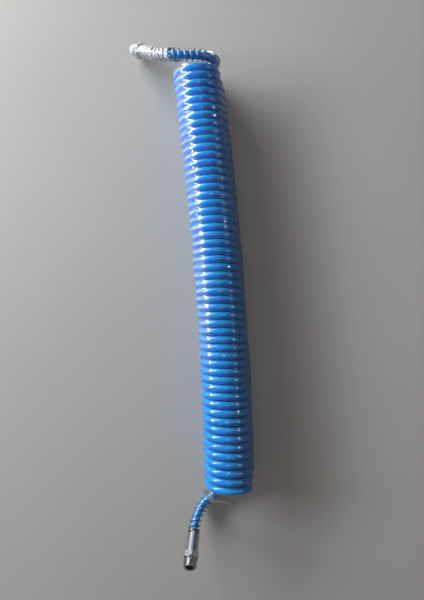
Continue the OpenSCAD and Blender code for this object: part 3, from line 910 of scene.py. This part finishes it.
def make_cuff():
    """The film gathered round the wrapped fitting: a tube along the hose's end and
    the fitting. Its radius follows what it wraps, sinks between the guard's turns,
    and is crumpled by zig-zag creases. Its back edge is torn: past the middle of
    its reach the rows are drawn out, further at some angles than at others. Over
    the guard its fine creases bunch up in slanting streaks."""
    a = (np.arange(CUFF_SIDES) * 2 * math.pi / CUFF_SIDES)[None]
    t = np.linspace(-CUFF_REACH, CUFF_END, CUFF_ROWS)[:, None]
    wander = 0.7 * folds(a, 1.0, scale=4, seed=11)
    torn = 0.5 + 0.5 * np.clip(wander + 0.9 * np.cos(a - TONGUE_AT), -1, 1)
    drawn_out = np.clip((-CUFF_REACH / 2 - t) / (CUFF_REACH / 2), 0, 1)
    along = t - CUFF_TORN * torn * drawn_out
    distance = HOSE_STOP - along
    _, across, over = frames(hose_path)
    middle = at(distance, hose_distance, hose_path)
    middle = np.where(along[..., None] < 0, middle, TOP_AT + along[..., None] * TOP_AIM)
    u, v = unit(at(distance, hose_distance, across)), -unit(at(distance, hose_distance, over))
    size, loose, bunched = (
        np.interp(along, *np.array(table).T) for table in (CUFF_SIZES, CUFF_LOOSE, CUFF_BUNCHED)
    )
    wire_turns = (-along - GUARD_WIRE / 2 - SEAT_FIT - GUARD_END_PITCH) / GUARD_PITCH
    sink = np.clip((-2 - along) / 4, 0, CUFF_SINK) * (np.cos(2 * math.pi * wire_turns + a) - 1)
    crumpled = zigzags(a, along, lengths=(1.6, 6.0), twist=18, seed=4, waves=20)
    radius = (size + sink + loose * (0.9 + crumpled))[..., None]
    points = middle + radius * (np.cos(a)[..., None] * u + np.sin(a)[..., None] * v)
    points[..., 2] = np.maximum(points[..., 2], CUFF_LOWEST)
    cuff = make_piece(
        "film_round_fitting", points.reshape(-1, 3), grid_faces(CUFF_ROWS, CUFF_SIDES), CUFF_FILM
    )
    streaks = np.where(along < 0, 1.0, 0) * np.cos(4 * math.pi * wire_turns + 2 * a)
    crumple = bunched * (1 + streaks) * (1 + 1.2 * folds(a, along, scale=4, seed=9))
    add_crumple(cuff, np.clip(crumple, 0, 0.8))
    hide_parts("film_cuff")
    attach(cuff, "root")


make_cuff()

# Middle line of the loose film at the coil's lower end, in mm
LOOSE_END = [
    (-23.5, -219.5, 23), (-24.2, -223, 19), (-23.6, -227.5, 14.6), (-20.5, -233.5, 13.4),
    (-17.2, -238.6, 11), (-14.6, -241.4, 4), (-10.5, -243, 1.8), (-5, -244.6, 1.4),
    (0.5, -246.8, 1.0),
]
LOOSE_WIDTH = (3.4, 1.0)  # half width where it leaves the sleeve, and at its tip
LOOSE_ROWS_PER_STEP = 12
LOOSE_COLS = 14
LOOSE_RAGGED = 0.35  # share by which its torn edges wander
LOOSE_LIFT, LOOSE_DEPTH = 0.5, 0.4  # its lift off that line, and its creases' height
LOOSE_CRUMPLE = 0.5  # its share of fine creases
LOOSE_LOWEST = 0.1  # its lowest height, mm


def make_loose_film():
    """A torn strip of film that trails from the sleeve over the guard: its width
    runs level, across its middle line, and zig-zag creases crumple it."""
    middle = smooth_curve(np.array(LOOSE_END, float), LOOSE_ROWS_PER_STEP)
    way = unit(np.gradient(middle, axis=0))
    aside = unit(np.cross([0, 0, 1], way))
    over = np.cross(way, aside)
    rows = len(middle)
    t = np.linspace(0, 1, rows)[:, None]
    s = np.linspace(1, -1, LOOSE_COLS)[None]
    half = LOOSE_WIDTH[0] + (LOOSE_WIDTH[1] - LOOSE_WIDTH[0]) * t
    ds = travelled(middle)[:, None]
    ragged = half * (1 + LOOSE_RAGGED * folds(np.sign(s), ds, scale=7, seed=13))
    creases = zigzags(3 * s, ds, lengths=(1.5, 5.0), twist=5, seed=6)
    height = LOOSE_LIFT + LOOSE_DEPTH * creases
    points = middle[:, None] + (ragged * s)[..., None] * aside[:, None]
    points = points + np.clip(height, 0.05, 1.2)[..., None] * over[:, None]
    points[..., 2] = np.maximum(points[..., 2], LOOSE_LOWEST)
    strip = make_piece(
        "film_loose_end", points.reshape(-1, 3),
        grid_faces(rows, LOOSE_COLS, close_cols=False), CUFF_FILM,
    )
    add_crumple(strip, np.full(rows * LOOSE_COLS, LOOSE_CRUMPLE))
    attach(strip, "root")


make_loose_film()

# ------------------------------------------------------------ floor and lights


FLOOR_HALF = 30000.0  # half the floor's side, mm
FLOOR_HEIGHT = -0.1  # just under the object, mm


def make_floor():
    """A plain pale floor just under the object."""
    material, tree, out = new_material("painted_board_matt")
    place = add(tree, "ShaderNodeTexCoord").outputs["Object"]
    mottle = add(
        tree, "ShaderNodeTexNoise", {"Vector": place, "Scale": FLOOR_MOTTLE, "Detail": 2.0}
    )
    ramp = add(tree, "ShaderNodeValToRGB", {"Fac": mottle.outputs["Fac"]})
    ramp.color_ramp.elements[0].color = colour("#B4B4B1")
    ramp.color_ramp.elements[1].color = colour("#BBBBB8")
    shader = add(
        tree, "ShaderNodeBsdfPrincipled",
        {"Base Color": ramp.outputs["Color"], "Roughness": 0.75},
    )
    tree.links.new(shader.outputs["BSDF"], out.inputs["Surface"])
    x = np.array([-1, 1, 1, -1]) * FLOOR_HALF
    y = np.array([-1, -1, 1, 1]) * FLOOR_HALF
    points = np.stack([x, y, np.full(4, FLOOR_HEIGHT)], -1)
    floor = make_piece("floor", points, np.array([[0, 1, 2, 3]]), material)


def add_lamp(name, place, target, size, power, tint="#FFFFFF", fills=True):
    """A rectangular lamp at a place, turned to a target, both in mm. One that
    doesn't fill shows in glossy surfaces and leaves matt ones alone."""
    data = bpy.data.lights.new(name, "AREA")
    data.shape = "RECTANGLE"
    data.size, data.size_y = size[0] * MM, size[1] * MM
    data.energy = power
    data.color = colour(tint)[:3]
    lamp = bpy.data.objects.new(name, data)
    lamp.visible_diffuse = fills
    way = Vector(target) - Vector(place)
    lamp.matrix_world = (
        Matrix.Translation(Vector(place) * MM) @ way.to_track_quat("-Z", "Y").to_matrix().to_4x4()
    )
    bpy.context.scene.collection.objects.link(lamp)


def make_light():
    """A wide soft window at the left, two small lamps further up, whose images
    are the dots on the film, and a pale room. Places and sizes are in mm, and
    powers in watts."""
    add_lamp("window", (-1000, 820, 500), (0, 150, 0), (1800, 260), 35, "#FAFBFD")
    add_lamp("small_lamp_right", (2200, 100, 1450), (0, 0, 20), (85, 85), 11, fills=False)
    add_lamp("small_lamp_over", (60, 150, 2500), (0, 0, 20), (90, 90), 3.0)
    world = bpy.data.worlds.new("room")
    world.use_nodes = True
    tree = world.node_tree
    tree.nodes.clear()
    sky = add(tree, "ShaderNodeBackground", {"Color": colour("#EEE2E0"), "Strength": 0.18})
    add(tree, "ShaderNodeOutputWorld", {"Surface": sky.outputs["Background"]})
    bpy.context.scene.world = world
    bpy.context.scene.view_settings.view_transform = "Standard"


make_floor()
make_light()
